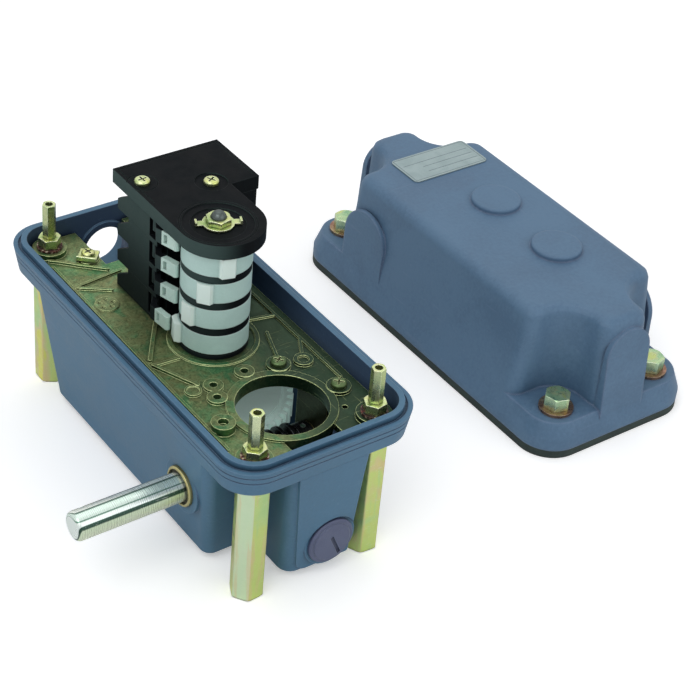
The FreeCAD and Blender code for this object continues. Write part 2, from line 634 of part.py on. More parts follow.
# Levers: a black arm turns on the pin and carries a pale hooked tip that rides on the cam
tipBack = 8.2


def lever(low):
    noseDistance = camRadius + camGap + noseRadius
    noseX = noseDistance * math.cos(math.radians(noseAngle))
    noseY = camY + noseDistance * math.sin(math.radians(noseAngle))
    base = low + leverMiddle - leverHeight / 2
    top = base + leverHeight
    elbowX = -16.6
    elbowY = 11.0
    arm = rib([(pivotX, pivotY), (elbowX, elbowY)], 2.6, base, top)
    arm += rib([(elbowX, elbowY), (noseX, noseY)], 2.6, base, top)
    arm.append(cyl(2.3, pivotX, pivotY, base, top))
    shape = cyl(noseRadius, noseX, noseY, base, top).fuse(arm).removeSplitter()
    window = box(-22, elbowX + 3.2, tipBack - 2.9, tipBack - 1.1, base + 1.2, top - 1.2)
    shape = shape.cut(window)
    keeper = cyl(camRadius + camGap, 0, camY, base - 1, top + 1)
    shape = shape.cut(keeper).cut(cyl(pinRadius + running, pivotX, pivotY, base - 1, top + 1))
    tip = shape.common(box(-40, 0, -20, tipBack, base - 1, top + 1))
    tongue = fused(*rib([(elbowX, elbowY), (noseX, noseY)], 1.0, base + 1.5, top - 1.5))
    tongue = tongue.common(box(-40, 0, tipBack - 0.5, tipBack + 2.4, base, top))
    return shape.cut(tip).cut(tongue), tip.fuse(tongue).removeSplitter()


pushedTurn = -11.0
for i in range(4):
    arm, tip = lever(plateTop + i * camPitch)
    if i == 0:
        # the lobe of the lowest cam holds this lever out
        for piece in (arm, tip):
            piece.rotate(vec(pivotX, pivotY, 0), vec(0, 0, 1), pushedTurn)
    save("lever_" + str(i + 1), arm)
    save("lever_tip_" + str(i + 1), tip)

# Top bearing plate
topLow = blockTops
topHigh = topLow + topPlateThick
noseX = 1.5
noseY = -6.5
noseR = 18.5
topPlate = box(-17, 33.8, blockFront, 48, topLow, topHigh)
topPlate = topPlate.fuse([cyl(noseR, noseX, noseY, topLow, topHigh), box(-17, noseX + noseR, noseY, 20, topLow, topHigh)])
topPlate = topPlate.removeSplitter()
recessFloor = sleeveTop - camGap
topPlate = topPlate.cut(cyl(14.8, 0, camY, recessFloor + 0.5, 140)).cut(cyl(11.4, 0, camY, recessFloor, 140))
ringCut = cyl(16.2, 0, camY, topHigh - 0.3, 140).cut(cyl(15.7, 0, camY, topHigh - 0.3, 140))
topPlate = topPlate.cut(ringCut)
topPlate = topPlate.cut(cyl(sleeveRadius + running, 0, camY, 110, 140))
border = box(-15.6, 32.4, 17.5, 46.6, topHigh - 0.35, 140).cut(box(-15.1, 31.9, 16, 46.1, topHigh - 0.35, 140))
topPlate = topPlate.cut(border)
seats = (topHigh, topHigh - 0.6)
topPlate = topPlate.cut(cyl(7.0, stackSpots[1][0], stackSpots[1][1], seats[1], 140))
ringCut = cyl(6.6, stackSpots[0][0], stackSpots[0][1], topHigh - 0.3, 140)
topPlate = topPlate.cut(ringCut.cut(cyl(6.1, stackSpots[0][0], stackSpots[0][1], topHigh - 0.3, 140)))
for x, y in stackSpots:
    topPlate = topPlate.cut(cyl(screwShank + running, x, y, 110, 140))
save("top_bearing_plate", topPlate)
stackScrews = []
for (x, y), seat in zip(stackSpots, seats):
    stackScrews.append(panScrew(x, y, seat, plateLow - 1.5, 3.3, 1.9, 15 + x))
save("top_plate_screws", *stackScrews)


# Cover
def coverPlan(z, wall=0.0, extra=0.0):
    # plan outline of the cover walls, with a pocket at each corner for a bolt
    rise = (z - coverSeat) / (coverTop - coverSeat)
    halfX = 42.0 - 5.6 * rise - wall - extra
    halfY = 94.0 - 3.5 * rise - wall - extra
    slab = 13.0 - wall - extra
    pocketY = 67.0 - wall - extra
    points = [(-slab, -halfY), (slab, -halfY), (slab, -pocketY), (halfX, -pocketY)]
    points += [(halfX, pocketY), (slab, pocketY), (slab, halfY), (-slab, halfY)]
    points += [(-slab, pocketY), (-halfX, pocketY), (-halfX, -pocketY), (-slab, -pocketY)]
    turn = 6.6 - wall - extra / 2
    hollow = 15.0 + wall + extra
    radii = [turn, turn, hollow, turn, turn, hollow, turn, turn, hollow, turn, turn, hollow]
    return outline(points, radii, z)


edgeRound = 5.0
sections = [coverPlan(coverSeat), coverPlan(coverTop - edgeRound)]
for degrees in (30, 60, 90):
    angle = math.radians(degrees)
    z = coverTop - edgeRound + edgeRound * math.sin(angle)
    sections.append(coverPlan(z, 0.0, edgeRound * (1 - math.cos(angle))))
shell = loft(*sections)
skirt = loft(rectangle(45.3, 97.2, 17.0, coverFlangeTop), rectangle(42.0, 94.0, 14.0, coverSeat))
rim = loft(rectangle(45.3, 97.2, 17.0, gasketThick), rectangle(45.3, 97.2, 17.0, coverFlangeTop))
shell = shell.fuse([skirt, rim])
archRadius = 12.6
for side in (-1, 1):
    arch = cylY(archRadius, 0, 57.2 - archRadius, side * 93 - 2.6, side * 93 + 2.6)
    arch = arch.fuse(box(-archRadius, archRadius, side * 93 - 2.6, side * 93 + 2.6, 12, 57.2 - archRadius))
    lean = prismX([(0, 10), (side * 96.0, 10), (side * 92.4, coverTop), (0, coverTop)], -30, 30)
    shell = shell.fuse(arch.common(lean))
    # the pilaster stands on the side away from the reader for the second turn
    y = -side * 51
    x = side * 39.0
    hump = cylX(15.5, y, 33, min(x, x + side * 3.4), max(x, x + side * 3.4))
    hump = hump.fuse(box(min(x, x + side * 3.4), max(x, x + side * 3.4), y - 15.5, y + 15.5, 12, 33))
    lean = prismY([(0, 10), (side * 42.4, 10), (side * 41.0, 50), (0, 50)], y - 30, y + 30)
    shell = shell.fuse(hump.common(lean))
for y in (14, -31):
    disc = cyl(12.0, 7, y, coverTop - 0.5, coverTop + 2.5)
    disc = disc.makeFillet(1.0, [e for e in disc.Edges if abs(e.BoundBox.ZMin - coverTop - 2.5) < 0.01])
    shell = shell.fuse(disc)
hollowLow = loft(rectangle(42.0, 93.9, 14.0, 0), rectangle(42.0, 93.9, 14.0, 7.5), rectangle(39.4, 91.3, 11.5, coverSeat - coverWall))
hollowHigh = loft(coverPlan(coverSeat - coverWall, coverWall), coverPlan(coverTop - coverWall - 3.5, coverWall), coverPlan(coverTop - coverWall, coverWall, 2.6))
shell = shell.removeSplitter().cut(hollowLow).cut(hollowHigh)
for sx, sy in corners:
    shell = shell.cut(cyl(3.9, sx * footX, sy * footY, 0, 30))
place = vec(coverX, coverY, 0)


def placed(shape):
    moved = shape.copy()
    moved.translate(place)
    return moved


save("cover_shell", placed(shell))
gasket = Part.Face(rectangle(45.3, 97.2, 17.0, 0)).extrude(vec(0, 0, gasketThick))
gasket = gasket.cut(Part.Face(rectangle(42.6, 94.5, 14.3, 0)).extrude(vec(0, 0, gasketThick)))
save("cover_gasket", placed(gasket))
bolts = []
boltWashers = []
headLow = coverSeat + 1.5
for sx, sy in corners:
    x = sx * footX
    y = sy * footY
    ring = cyl(8.0, x, y, coverSeat, headLow).cut(cyl(coverScrewRadius + 0.3, x, y, 10, 30))
    boltWashers.append(placed(ring))
    head = hexagon(coverHeadFlats, x, y, headLow, headLow + 6.6, 10 + 17 * sx + 9 * sy, 0, 0.8)
    head = head.fuse(cyl(coverScrewRadius, x, y, 8.0, headLow))
    bolts.append(placed(head))
save("cover_washers", *boltWashers)
save("cover_bolts", *bolts)
label = prism([(-17.25, 45.25), (27.25, 45.25), (27.25, 66.75), (-17.25, 66.75)], coverTop, coverTop + 0.6, [2.5] * 4)
save("nameplate", placed(label))
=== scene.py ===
import json
import math

import bmesh
import bpy
from mathutils import Matrix, Vector

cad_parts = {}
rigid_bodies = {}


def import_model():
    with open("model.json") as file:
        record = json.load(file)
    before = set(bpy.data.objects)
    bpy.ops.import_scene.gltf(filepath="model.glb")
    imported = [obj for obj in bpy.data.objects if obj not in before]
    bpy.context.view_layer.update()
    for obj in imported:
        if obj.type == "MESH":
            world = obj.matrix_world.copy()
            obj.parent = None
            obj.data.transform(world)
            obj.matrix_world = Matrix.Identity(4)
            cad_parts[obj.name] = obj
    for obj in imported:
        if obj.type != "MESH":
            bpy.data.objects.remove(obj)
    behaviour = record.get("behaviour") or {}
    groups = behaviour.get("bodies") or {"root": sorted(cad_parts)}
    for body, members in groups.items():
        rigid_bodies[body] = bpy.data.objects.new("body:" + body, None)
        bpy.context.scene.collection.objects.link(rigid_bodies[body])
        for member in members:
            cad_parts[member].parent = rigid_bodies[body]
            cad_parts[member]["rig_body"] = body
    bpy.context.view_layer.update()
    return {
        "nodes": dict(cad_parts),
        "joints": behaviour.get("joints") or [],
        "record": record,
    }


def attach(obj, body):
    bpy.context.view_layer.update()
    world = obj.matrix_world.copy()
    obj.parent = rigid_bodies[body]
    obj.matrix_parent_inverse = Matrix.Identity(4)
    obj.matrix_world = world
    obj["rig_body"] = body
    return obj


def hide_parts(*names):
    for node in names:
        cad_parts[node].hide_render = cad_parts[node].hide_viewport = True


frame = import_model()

scene = bpy.context.scene
for item in list(bpy.data.objects):
    if item.type in ("LIGHT", "CAMERA") or item.name == "Cube":
        bpy.data.objects.remove(item)


def rgb(red, green, blue):
    # screen colour 0 to 255 as the linear colour a socket takes
    linear = []
    for part in (red / 255, green / 255, blue / 255):
        linear.append(part / 12.92 if part <= 0.04045 else ((part + 0.055) / 1.055) ** 2.4)
    return (*linear, 1.0)


# Short ways to put shader nodes in a tree
def feed(tree, socket, value):
    # a socket is linked, a plain value is set, and None leaves the input alone
    if isinstance(value, bpy.types.NodeSocket):
        tree.links.new(value, socket)
    elif value is not None:
        socket.default_value = value


def add(tree, kind, settings=None, inputs=None):
    made = tree.nodes.new("ShaderNode" + kind)
    for name, value in (settings or {}).items():
        setattr(made, name, value)
    for name, value in (inputs or {}).items():
        feed(tree, made.inputs[name], value)
    return made


def maths(tree, operation, first, second=None, third=None):
    made = add(tree, "Math", {"operation": operation}, {0: first, 1: second, 2: third})
    return made.outputs[0]


def vectorMaths(tree, operation, first, second=None, third=None):
    made = add(tree, "VectorMath", {"operation": operation}, {0: first, 1: second, 2: third})
    return made.outputs


def blend(tree, factor, first, second, mode="MIX"):
    settings = {"data_type": "RGBA", "blend_type": mode, "clamp_factor": True}
    return add(tree, "Mix", settings, {0: factor, 6: first, 7: second}).outputs[2]


def between(tree, value, low, high, start=0.0, end=1.0):
    # smooth change from start to end as value goes from low to high
    settings = {"interpolation_type": "SMOOTHSTEP"}
    inputs = {"Value": value, "From Min": low, "From Max": high, "To Min": start, "To Max": end}
    return add(tree, "MapRange", settings, inputs).outputs[0]


def coat(tree, colour, mask, amount, over):
    # lays a screen colour over another where the mask says, up to the amount
    return blend(tree, maths(tree, "MULTIPLY", mask, amount), colour, rgb(*over))


def fade(tree, colour, value, reach, over):
    # lays a screen colour over another as the value runs through the reach: from, to and most
    low, high, most = reach
    return blend(tree, between(tree, value, low, high, end=most), colour, rgb(*over))


def ramp(tree, value, stops):
    # colour that runs through the stops: place from 0 to 1, then the screen colour
    made = add(tree, "ValToRGB", None, {0: value})
    made.color_ramp.interpolation = "LINEAR"
    points = made.color_ramp.elements
    while len(points) < len(stops):
        points.new(0.5)
    for point, stop in zip(points, stops):
        point.position = stop[0]
    # a new position can change the order of the points, so the colours follow in their own turn
    for point, stop in zip(points, stops):
        point.color = rgb(*stop[1])
    return made.outputs[0]


def objectPlace(tree):
    return add(tree, "TexCoord").outputs["Object"]


def objectParts(tree):
    return add(tree, "SeparateXYZ", None, {0: objectPlace(tree)}).outputs


def noise(tree, vector, scale, detail=2.0, rough=0.5, twist=0.0):
    inputs = {"Vector": vector, "Scale": scale, "Detail": detail, "Roughness": rough, "Distortion": twist}
    return add(tree, "TexNoise", None, inputs).outputs[0]


def mapped(tree, vector, scale=(1, 1, 1), shift=(0, 0, 0), turn=(0, 0, 0)):
    inputs = {"Vector": vector, "Location": shift, "Rotation": turn, "Scale": scale}
    return add(tree, "Mapping", None, inputs).outputs[0]


def normalPart(tree, direction):
    # how far the surface faces a direction of the object
    normal = add(tree, "NewGeometry").outputs["Normal"]
    return vectorMaths(tree, "DOT_PRODUCT", normal, direction)["Value"]


def bumped(tree, height, distance, normal):
    inputs = {"Height": height, "Distance": distance, "Strength": 1.0, "Normal": normal}
    return add(tree, "Bump", None, inputs).outputs[0]


# The camera stands where the photograph was taken from
viewpoint = {
    "azimuth": -38.705, "elevation": 36.670, "roll": 5.692,        # degrees
    "place": (-0.358518, -0.546291, 0.549343), "lens": 98.98, "sensor": 36, "nearest": 0.02, "farthest": 20,
}


def makeCamera():
    turn, tilt, roll = (math.radians(viewpoint[name]) for name in ("azimuth", "elevation", "roll"))
    back = Vector((math.sin(turn) * math.cos(tilt), -math.cos(turn) * math.cos(tilt), math.sin(tilt)))
    level = Vector((math.cos(turn), math.sin(turn), 0))
    upright = back.cross(level)
    right = math.cos(roll) * level + math.sin(roll) * upright
    above = -math.sin(roll) * level + math.cos(roll) * upright
    lens = bpy.data.cameras.new("camera")
    lens.lens = viewpoint["lens"]
    lens.sensor_width = viewpoint["sensor"]
    lens.clip_start = viewpoint["nearest"]
    lens.clip_end = viewpoint["farthest"]
    camera = bpy.data.objects.new("camera", lens)
    scene.collection.objects.link(camera)
    camera.matrix_world = Matrix((right, above, back)).transposed().to_4x4()
    camera.location = viewpoint["place"]
    scene.camera = camera


lamps = {
    "key": {"place": (-0.75, -0.35, 1.25), "size": 0.9, "power": 6.2},
    "fill": {"place": (0.55, -1.1, 0.7), "size": 1.0, "power": 2.7},
    "top": {"place": (0.25, 0.5, 1.3), "size": 1.2, "power": 3.1},
}
lampAim = Vector((0.08, 0.0, 0.05))


def makeLights():
    for name, values in lamps.items():
        lamp = bpy.data.lights.new(name, "AREA")
        lamp.shape = "SQUARE"
        lamp.size = values["size"]
        lamp.energy = values["power"]
        holder = bpy.data.objects.new(name, lamp)
        scene.collection.objects.link(holder)
        holder.location = values["place"]
        holder.rotation_euler = (lampAim - Vector(values["place"])).to_track_quat("-Z", "Y").to_euler()


room = {"light": 0.49, "backdrop": 1.0}


def makeWorld():
    # the camera, reflections and clear materials see the backdrop, and the object gets the light
    world = bpy.data.worlds.new("studio")
    world.use_nodes = True
    tree = world.node_tree
    tree.nodes.clear()
    rays = add(tree, "LightPath").outputs
    seen = maths(tree, "MAXIMUM", rays["Is Camera Ray"], rays["Is Glossy Ray"])
    seen = maths(tree, "MAXIMUM", seen, rays["Is Transmission Ray"])
    levels = {"Value": seen, "To Min": room["light"], "To Max": room["backdrop"]}
    strength = add(tree, "MapRange", None, levels).outputs[0]
    light = add(tree, "Background", None, {"Color": (1, 1, 1, 1), "Strength": strength}).outputs[0]
    add(tree, "OutputWorld", None, {"Surface": light})
    scene.world = world


makeCamera()
makeLights()
makeWorld()
scene.view_settings.view_transform = "Standard"
print("camera, lights and world made")


# Effects that several finishes share. A pair says where a mask starts and where it is full
def startGroup(name, inputs, outputs):
    group = bpy.data.node_groups.new(name, "ShaderNodeTree")
    for socket, kind, value in inputs:
        made = group.interface.new_socket(name=socket, in_out="INPUT", socket_type="NodeSocket" + kind)
        if value is not None:
            made.default_value = value
    for socket, kind in outputs:
        group.interface.new_socket(name=socket, in_out="OUTPUT", socket_type="NodeSocket" + kind)
    return group, group.nodes.new("NodeGroupInput").outputs, group.nodes.new("NodeGroupOutput").inputs


edgeHighlightAndWear = {"samples": 6, "edge": (0.992, 0.86), "patch": (0.44, 0.62)}


def edgeHighlightAndWearGroup():
    # rounded edges: the whole edge, which the finishes paint lighter as a painted highlight, and the patches
    # where it is worn
    inputs = [("Radius", "Float", 0.0004), ("Scale", "Float", 300.0)]
    outputs = [("Edge", "Float"), ("Wear", "Float"), ("Normal", "Vector")]
    group, start, end = startGroup("edgeHighlightAndWear", inputs, outputs)
    rounded = add(group, "Bevel", {"samples": edgeHighlightAndWear["samples"]}, {"Radius": start["Radius"]}).outputs[0]
    edge = between(group, normalPart(group, rounded), *edgeHighlightAndWear["edge"])
    patch = noise(group, objectPlace(group), start["Scale"], detail=4.0, rough=0.65)
    worn = between(group, patch, *edgeHighlightAndWear["patch"])
    feed(group, end["Edge"], edge)
    feed(group, end["Wear"], maths(group, "MULTIPLY", edge, worn))
    feed(group, end["Normal"], rounded)
    return group


cornerShadeAndDirt = {"samples": 5, "shut": (0.88, 0.35)}


def cornerShadeAndDirtGroup():
    # painted shade and dirt in narrow corners
    group, start, end = startGroup("cornerShadeAndDirt", [("Distance", "Float", 0.003)], [("Mask", "Float")])
    settings = {"samples": cornerShadeAndDirt["samples"]}
    openness = add(group, "AmbientOcclusion", settings, {"Distance": start["Distance"]}).outputs["AO"]
    feed(group, end["Mask"], between(group, openness, *cornerShadeAndDirt["shut"]))
    return group


castSkin = {"swellScale": 0.22, "swell": 0.6, "grainTone": 0.35, "slowTone": 0.65, "tone": (0.36, 0.62)}


def castSkinGroup():
    # paint over a casting: fine grain on a slow swell, with a soft change of tone
    inputs = [("Grain Scale", "Float", 900.0), ("Tone Scale", "Float", 30.0)]
    group, start, end = startGroup("castSkin", inputs, [("Tone", "Float"), ("Height", "Float")])
    where = objectPlace(group)
    grain = noise(group, where, start["Grain Scale"], detail=3.0, rough=0.6)
    swellScale = maths(group, "MULTIPLY", start["Grain Scale"], castSkin["swellScale"])
    swell = noise(group, where, swellScale, detail=1.0)
    slow = noise(group, where, start["Tone Scale"], detail=3.0, rough=0.55, twist=0.6)
    slow = maths(group, "MULTIPLY", slow, castSkin["slowTone"])
    tone = maths(group, "MULTIPLY_ADD", grain, castSkin["grainTone"], slow)
    feed(group, end["Tone"], between(group, tone, *castSkin["tone"]))
    feed(group, end["Height"], maths(group, "MULTIPLY_ADD", swell, castSkin["swell"], grain))
    return group


zincBloom = {"facing": 0.16, "second": (0.44, 0.62), "third": (0.48, 0.68), "shift": (0.31, 0.17, 0.05)}


def zincBloomGroup():
    # passivated zinc: three film colours that drift over the surface and change from face to face
    inputs = [
        ("Main", "Color", (0.5, 0.5, 0.3, 1)), ("Second", "Color", (0.5, 0.4, 0.3, 1)),
        ("Third", "Color", (0.4, 0.5, 0.4, 1)), ("Scale", "Float", 60.0),
        ("Facing", "Vector", (0.3, 0.6, 0.2)),
    ]
    group, start, end = startGroup("zincBloom", inputs, [("Color", "Color"), ("Film", "Float")])
    where = objectPlace(group)
    drift = noise(group, where, start["Scale"], detail=4.0, rough=0.6, twist=1.2)
    elsewhere = mapped(group, where, shift=zincBloom["shift"])
    other = noise(group, elsewhere, start["Scale"], detail=3.0, twist=0.8)
    film = maths(group, "MULTIPLY_ADD", normalPart(group, start["Facing"]), zincBloom["facing"], drift)
    colour = blend(group, between(group, film, *zincBloom["second"]), start["Main"], start["Second"])
    colour = blend(group, between(group, other, *zincBloom["third"]), colour, start["Third"])
    feed(group, end["Color"], colour)
    feed(group, end["Film"], film)
    return group


turnedLines = {"hazeScale": 140.0, "lineTone": 0.6, "hazeTone": 0.4}


def turnedLinesGroup():
    # tool lines round an axis: X of the vector runs along the axis
    inputs = [("Vector", "Vector", None), ("Density", "Float", 2500.0)]
    group, start, end = startGroup("turnedLines", inputs, [("Tone", "Float"), ("Height", "Float")])
    along = add(group, "SeparateXYZ", None, {0: start["Vector"]}).outputs["X"]
    counted = maths(group, "MULTIPLY", along, start["Density"])
    inputs = {"W": counted, "Scale": 1.0, "Detail": 3.0}
    lines = add(group, "TexNoise", {"noise_dimensions": "1D"}, inputs).outputs[0]
    haze = noise(group, start["Vector"], turnedLines["hazeScale"], detail=3.0)
    haze = maths(group, "MULTIPLY", haze, turnedLines["hazeTone"])
    feed(group, end["Height"], lines)
    feed(group, end["Tone"], maths(group, "MULTIPLY_ADD", lines, turnedLines["lineTone"], haze))
    return group


mouldSkin = {"cloudScale": 70.0, "fineTone": 0.3, "cloudTone": 0.7}


def mouldSkinGroup():
    # moulded plastic: faint flow clouds and a fine spark-eroded texture
    inputs = [("Scale", "Float", 1400.0)]
    group, start, end = startGroup("mouldSkin", inputs, [("Tone", "Float"), ("Height", "Float")])
    where = objectPlace(group)
    fine = noise(group, where, start["Scale"], rough=0.6)
    cloud = noise(group, where, mouldSkin["cloudScale"], detail=3.0, rough=0.55, twist=0.8)
    cloud = maths(group, "MULTIPLY", cloud, mouldSkin["cloudTone"])
    feed(group, end["Tone"], maths(group, "MULTIPLY_ADD", fine, mouldSkin["fineTone"], cloud))
    feed(group, end["Height"], fine)
    return group


scratches = {
    "line": (0.665, 0.70),
    "runs": (
        {"turn": (0.4, 0.9, 0.3), "scale": (1, 22, 22)},
        {"turn": (1.2, 0.2, 1.9), "scale": (20, 1, 20)},
    ),
}


def scratchesGroup():
    # thin long marks in two directions
    group, start, end = startGroup("scratches", [("Scale", "Float", 60.0)], [("Mask", "Float")])
    where = objectPlace(group)
    marks = []
    for run in scratches["runs"]:
        line = noise(group, mapped(group, where, **run), start["Scale"], rough=0.7, twist=0.4)
        marks.append(between(group, line, *scratches["line"]))
    feed(group, end["Mask"], maths(group, "MAXIMUM", *marks))
    return group


dustFilm = {"up": (0.5, 1.0), "patch": (0.4, 0.75)}


def dustFilmGroup():
    # dust that settles where the surface faces up
    group, start, end = startGroup("dustFilm", [("Scale", "Float", 90.0)], [("Mask", "Float")])
    up = between(group, normalPart(group, (0, 0, 1)), *dustFilm["up"])
    patch = noise(group, objectPlace(group), start["Scale"], detail=5.0, rough=0.7)
    feed(group, end["Mask"], maths(group, "MULTIPLY", up, between(group, patch, *dustFilm["patch"])))
    return group


effectMakers = (
    edgeHighlightAndWearGroup, cornerShadeAndDirtGroup, castSkinGroup, zincBloomGroup,
    turnedLinesGroup, mouldSkinGroup, scratchesGroup, dustFilmGroup,
)
effects = {}
for maker in effectMakers:
    made = maker()
    effects[made.name] = made
print("shared effects made:", len(effects))


def effect(tree, name, **inputs):
    # an underscore stands for the space in the name of an input
    made = tree.nodes.new("ShaderNodeGroup")
    made.node_tree = effects[name]
    for socket, value in inputs.items():
        feed(tree, made.inputs[socket.replace("_", " ")], value)
    return made.outputs


def filmEffect(tree, values):
    # the drifting film of a plated finish in its three colours
    colours = {socket: rgb(*values[socket.lower()]) for socket in ("Main", "Second", "Third")}
    return effect(tree, "zincBloom", Scale=values["scale"], Facing=values["facing"], **colours)


def startMaterial(name, **constants):
    material = bpy.data.materials.new(name)
    material.use_nodes = True
    tree = material.node_tree
    shader = tree.nodes["Principled BSDF"]
    for socket, value in constants.items():
        shader.inputs[socket.replace("_", " ")].default_value = value
    return material, tree, shader


def dressShader(tree, shader, colour, rough, normal):
    for socket, value in (("Base Color", colour), ("Roughness", rough), ("Normal", normal)):
        feed(tree, shader.inputs[socket], value)


# Planes just inside the outer walls of the housing: the reach at z = 0 and its growth with z
housingWalls = {"X": (0.03278, 0.1407), "Y": (0.08541, 0.1305)}
insideMask = {"towardsMiddle": (-0.004, -0.012), "behindWall": (0.0002, -0.0002)}


def insideShadeMask(tree):
    # walls inside the housing that look towards its middle, where painted shade darkens the paint
    outward = vectorMaths(tree, "MULTIPLY", objectPlace(tree), (1, 1, 0))["Vector"]
    mask = between(tree, normalPart(tree, outward), *insideMask["towardsMiddle"])
    parts = objectParts(tree)
    for side, (reach, growth) in housingWalls.items():
        wall = maths(tree, "MULTIPLY_ADD", parts["Z"], growth, reach)
        beyond = maths(tree, "SUBTRACT", maths(tree, "ABSOLUTE", parts[side]), wall)
        mask = maths(tree, "MULTIPLY", mask, between(tree, beyond, *insideMask["behindWall"]))
    return mask


# Enamel on the housing and the cover. Lengths are metres, colours are screen colours
enamel = {
    "housingPaint": {
        "main": (68, 107, 134), "light": (77, 116, 144), "deep": (26, 40, 60), "edge": (118, 148, 182),
        "insideShade": (64, 84, 112), "grain": 620.0, "depth": 0.00005, "round": 0.0007, "rough": (0.40, 0.52),
        "shadeAndDirt": 0.9, "lip": 0.45,
    },
    "coverPaint": {
        "main": (80, 109, 137), "light": (91, 121, 149), "deep": (42, 58, 84), "edge": (128, 146, 178),
        "grain": 560.0, "depth": 0.0001, "round": 0.0018, "rough": (0.44, 0.56), "shadeAndDirt": 0.65, "lip": 0.35,
    },
}
# what every paint has: the scale of each effect, and how far it shows
enamelShared = {
    "gloss": 0.34, "wearScale": 260.0, "toneScale": 26.0, "shadeAndDirtReach": 0.004, "dustScale": 70.0,
    "markScale": 22.0, "edgeLightAndWear": 0.25, "dust": 0.06, "dustRough": 0.12, "marks": 0.10,
    "dustColour": (150, 165, 180),
}


def enamelMaterial(name):
    values = enamelShared | enamel[name]
    material, tree, shader = startMaterial(name, Metallic=0.0, Specular_IOR_Level=values["gloss"])
    edgeLightAndWear = effect(tree, "edgeHighlightAndWear", Radius=values["round"], Scale=values["wearScale"])
    skin = effect(tree, "castSkin", Grain_Scale=values["grain"], Tone_Scale=values["toneScale"])
    shadeAndDirt = effect(tree, "cornerShadeAndDirt", Distance=values["shadeAndDirtReach"])["Mask"]
    dust = effect(tree, "dustFilm", Scale=values["dustScale"])["Mask"]
    marks = effect(tree, "scratches", Scale=values["markScale"])["Mask"]
    colour = blend(tree, skin["Tone"], rgb(*values["main"]), rgb(*values["light"]))
    if "insideShade" in values:
        # painted shade: walls inside the housing are painted a darker blue
        colour = blend(tree, insideShadeMask(tree), colour, rgb(*values["insideShade"]))
    # painted shade and dirt: corners and recesses are painted darker
    colour = coat(tree, colour, shadeAndDirt, values["shadeAndDirt"], values["deep"])
    # painted highlight: the whole edge is painted lighter
    colour = coat(tree, colour, edgeLightAndWear["Edge"], values["lip"], values["edge"])
    colour = coat(tree, colour, edgeLightAndWear["Wear"], values["edgeLightAndWear"], values["edge"])
    colour = coat(tree, colour, dust, values["dust"], values["dustColour"])
    colour = coat(tree, colour, marks, values["marks"], values["edge"])
    rough = between(tree, skin["Tone"], 0.0, 1.0, *values["rough"])
    rough = maths(tree, "MULTIPLY_ADD", dust, values["dustRough"], rough)
    dressShader(tree, shader, colour, rough, bumped(tree, skin["Height"], values["depth"], edgeLightAndWear["Normal"]))
    return material


# Chromate on the chassis plate, the bracket's screws and the worm bracket
chromate = {
    "plateChromate": {
        "main": (98, 138, 94), "second": (118, 122, 82), "third": (66, 122, 80), "deep": (18, 24, 14),
        "edge": (222, 236, 172), "farShade": (30, 52, 35), "scale": 85.0,
    },
    "screwChromate": {
        "main": (120, 140, 92), "second": (134, 128, 84), "third": (88, 124, 78), "deep": (14, 16, 10),
        "edge": (224, 232, 176), "farShade": (84, 104, 66), "scale": 120.0,
    },
    # painted shade: the worm bracket's chromate is dark, as it stands in shade under the plate
    "bracketChromateShaded": {
        "main": (66, 70, 42), "second": (78, 68, 44), "third": (54, 66, 42), "deep": (38, 40, 26),
        "edge": (226, 222, 160), "farShade": (50, 54, 34), "scale": 90.0,
    },
}
chromateShared = {
    "metal": 0.75, "round": 0.00045, "wearScale": 420.0, "shadeAndDirtReach": 0.0022, "grain": 900.0,
    "toneScale": 150.0, "markScale": 60.0, "fleckScale": 520.0, "facing": (0.5, 0.2, 0.7),
    "haze": 0.3, "shadeAndDirt": 0.75, "lip": 1.0, "marks": 0.15, "depth": 0.00007, "rough": (0.30, 0.50),
    "film": (0.35, 0.7), "hazeColour": (128, 158, 108), "darkColour": (60, 84, 52),
    "paleColour": (150, 174, 118),
    "darkFleck": (0.48, 0.60, 0.6), "paleFleck": (0.44, 0.32, 0.6),     # from, to and most
    # painted shade: the colour darkens to the far colour as X grows
    "farShadeSlope": -0.12, "farShadeReach": (-0.012, 0.022, 0.95),               # darker away from the camera
}


def chromateMaterial(name):
    values = chromateShared | chromate[name]
    material, tree, shader = startMaterial(name, Metallic=values["metal"])
    edgeLightAndWear = effect(tree, "edgeHighlightAndWear", Radius=values["round"], Scale=values["wearScale"])
    shadeAndDirt = effect(tree, "cornerShadeAndDirt", Distance=values["shadeAndDirtReach"])["Mask"]
    film = filmEffect(tree, values)
    skin = effect(tree, "castSkin", Grain_Scale=values["grain"], Tone_Scale=values["toneScale"])
    marks = effect(tree, "scratches", Scale=values["markScale"])["Mask"]
    parts = objectParts(tree)
    away = maths(tree, "MULTIPLY_ADD", parts["Y"], values["farShadeSlope"], parts["X"])
    fleck = noise(tree, objectPlace(tree), values["fleckScale"], detail=5.0, rough=0.72, twist=1.5)
    colour = coat(tree, film["Color"], skin["Tone"], values["haze"], values["hazeColour"])
    colour = fade(tree, colour, fleck, values["darkFleck"], values["darkColour"])
    colour = fade(tree, colour, fleck, values["paleFleck"], values["paleColour"])
    # painted shade across the part
    colour = fade(tree, colour, away, values["farShadeReach"], values["farShade"])
    # painted shade and dirt: corners and recesses are painted darker
    colour = coat(tree, colour, shadeAndDirt, values["shadeAndDirt"], values["deep"])
    # painted highlight: the whole edge is painted lighter
    colour = coat(tree, colour, edgeLightAndWear["Edge"], values["lip"], values["edge"])
    colour = coat(tree, colour, marks, values["marks"], values["edge"])
    rough = between(tree, film["Film"], *values["film"], *values["rough"])
    dressShader(tree, shader, colour, rough, bumped(tree, skin["Height"], values["depth"], edgeLightAndWear["Normal"]))
    return material


